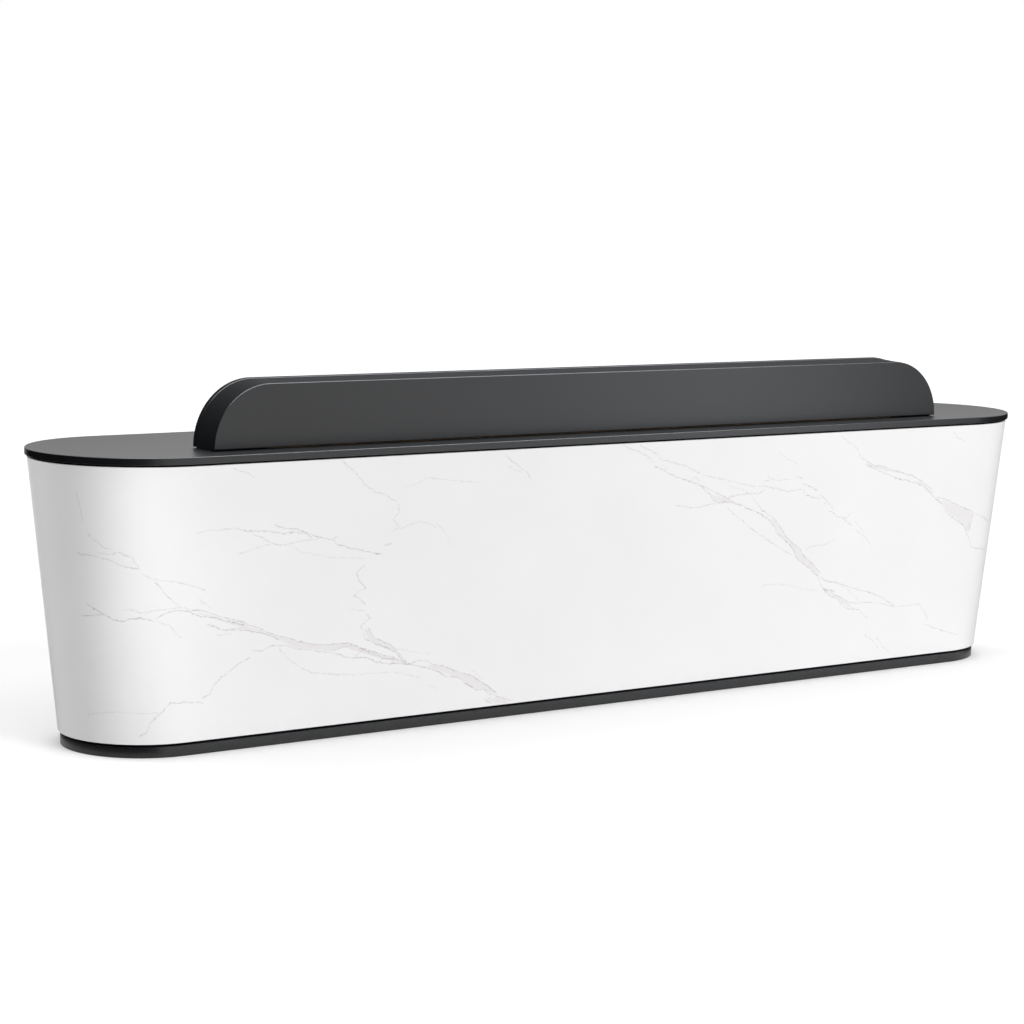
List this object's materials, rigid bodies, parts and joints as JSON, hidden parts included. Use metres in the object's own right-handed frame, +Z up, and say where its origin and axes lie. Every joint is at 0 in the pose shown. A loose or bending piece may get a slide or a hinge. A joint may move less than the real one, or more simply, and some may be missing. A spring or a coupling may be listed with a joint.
{
  "type": "reception desk",
  "caption": "Long reception desk with round ends, a leaning marble-look wall, a black worktop with a low screen, and staff-side drawers and a cupboard.",
  "frame": {"origin": "on the floor, under the middle of the worktop", "axes": "+X along the desk, to the right seen by a visitor; visitors stand on the -Y side and staff sit on the +Y side; +Z up"},
  "size_m": [3.2, 0.6, 0.928],
  "materials": {
    "black_laminate": "matt black laminate on board",
    "marble_sheet": "satin white marble-look sheet with grey veins",
    "plywood": "raw plywood",
    "white_melamine": "white melamine board",
    "grey_melamine": "grey melamine board",
    "zinc_steel": "zinc-plated steel",
    "black_metal": "black powder coat",
    "black_plastic": "moulded black plastic"
  },
  "bodies": {
    "desk": {"plinth_front": "black_laminate", "plinth_left_end": "black_laminate", "plinth_right_end": "black_laminate", "plinth_left_rear": "black_laminate", "plinth_right_rear": "black_laminate", "cladding_front": "marble_sheet", "cladding_left_end": "marble_sheet", "cladding_right_end": "marble_sheet", "core_front": "white_melamine", "core_left_end": "plywood", "core_right_end": "plywood", "left_base_panel": "white_melamine", "right_base_panel": "white_melamine", "left_end_former": "plywood", "right_end_former": "plywood", "left_outer_gable": "white_melamine", "right_outer_gable": "white_melamine", "left_inner_gable": "white_melamine", "right_inner_gable": "white_melamine", "centre_gable": "white_melamine", "left_top_rail": "white_melamine", "right_top_rail": "white_melamine", "left_knee_rail": "white_melamine", "right_knee_rail": "white_melamine", "worktop": "black_laminate", "left_grommet": "black_plastic", "right_grommet": "black_plastic", "screen_front_panel": "black_laminate", "screen_rear_panel": "black_laminate", "screen_top_wrap": "black_laminate", "screen_base_rail": "plywood", "screen_rib_1": "plywood", "screen_rib_2": "plywood", "screen_rib_3": "plywood", "drawer_bottom_runner_left": "zinc_steel", "drawer_bottom_runner_right": "zinc_steel", "drawer_middle_runner_left": "zinc_steel", "drawer_middle_runner_right": "zinc_steel", "drawer_top_runner_left": "zinc_steel", "drawer_top_runner_right": "zinc_steel", "cupboard_shelf": "white_melamine", "hinge_lower_gable_leaf": "zinc_steel", "hinge_upper_gable_leaf": "zinc_steel"},
    "bottom_drawer": {"drawer_bottom_front": "white_melamine", "drawer_bottom_box": "grey_melamine", "drawer_bottom_handle": "black_metal"},
    "middle_drawer": {"drawer_middle_front": "white_melamine", "drawer_middle_box": "grey_melamine", "drawer_middle_handle": "black_metal"},
    "top_drawer": {"drawer_top_front": "white_melamine", "drawer_top_box": "grey_melamine", "drawer_top_handle": "black_metal"},
    "top_drawer_lock": {"drawer_lock": "zinc_steel"},
    "door": {"door_panel": "white_melamine", "door_handle": "black_metal", "hinge_lower_door_leaf": "zinc_steel", "hinge_upper_door_leaf": "zinc_steel"},
    "cupboard_lock": {"door_lock": "zinc_steel"},
    "left_cap": {"left_grommet_cap": "black_plastic"},
    "right_cap": {"right_grommet_cap": "black_plastic"}
  },
  "joints": [
    {"name": "bottom_drawer_slide", "type": "slide", "parent": "desk", "child": "bottom_drawer", "axis": [0, 1, 0], "range_m": [0, 0.3]},
    {"name": "middle_drawer_slide", "type": "slide", "parent": "desk", "child": "middle_drawer", "axis": [0, 1, 0], "range_m": [0, 0.3]},
    {"name": "top_drawer_slide", "type": "slide", "parent": "desk", "child": "top_drawer", "axis": [0, 1, 0], "range_m": [0, 0.3]},
    {"name": "door_swing", "type": "hinge", "parent": "desk", "child": "door", "pos_m": [1.2772, 0.2248, 0.372], "axis": [0, 0, -1], "range_deg": [0, 90]},
    {"name": "drawer_lock_turn", "type": "hinge", "parent": "top_drawer", "child": "top_drawer_lock", "pos_m": [-0.901, 0.212, 0.6587], "axis": [0, -1, 0], "range_deg": [0, 90]},
    {"name": "door_lock_turn", "type": "hinge", "parent": "door", "child": "cupboard_lock", "pos_m": [0.901, 0.212, 0.6587], "axis": [0, -1, 0], "range_deg": [0, 90]},
    {"name": "left_cap_turn", "type": "hinge", "parent": "desk", "child": "left_cap", "pos_m": [-0.5, 0.016, 0.755], "axis": [0, 0, 1], "continuous": true},
    {"name": "right_cap_turn", "type": "hinge", "parent": "desk", "child": "right_cap", "pos_m": [0.5, 0.016, 0.755], "axis": [0, 0, 1], "continuous": true}
  ]
}
